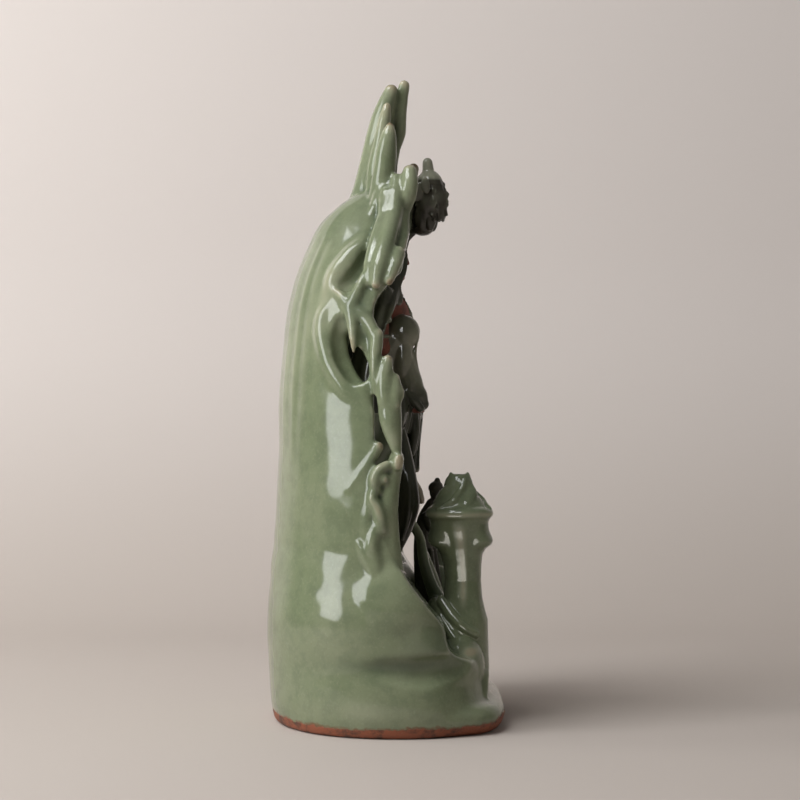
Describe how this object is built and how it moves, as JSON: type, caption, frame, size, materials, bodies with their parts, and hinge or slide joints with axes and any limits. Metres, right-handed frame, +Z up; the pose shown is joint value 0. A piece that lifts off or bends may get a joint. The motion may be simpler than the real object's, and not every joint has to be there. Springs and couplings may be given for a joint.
{
  "type": "celadon grotto shrine with seated guanyin",
  "caption": "Tall stoneware rock shrine, open in front, with Guanyin seated inside, a crest of spikes, a hanging blossom and a covered vase on its foot.",
  "frame": {"origin": "under the middle of the foot, on the surface it stands on", "axes": "+Z up, the open front faces -Y, +X to the right of someone facing the front"},
  "size_m": [0.175, 0.1331, 0.36],
  "materials": {
    "celadon_glaze": "thick glossy sea-green celadon, pooling blue-green in hollows and paler on edges",
    "fired_biscuit": "bare brick-red stoneware on the foot rim, face, chest, hands and feet"
  },
  "bodies": {
    "root": {"guanyin_grotto": "celadon_glaze"}
  },
  "joints": []
}
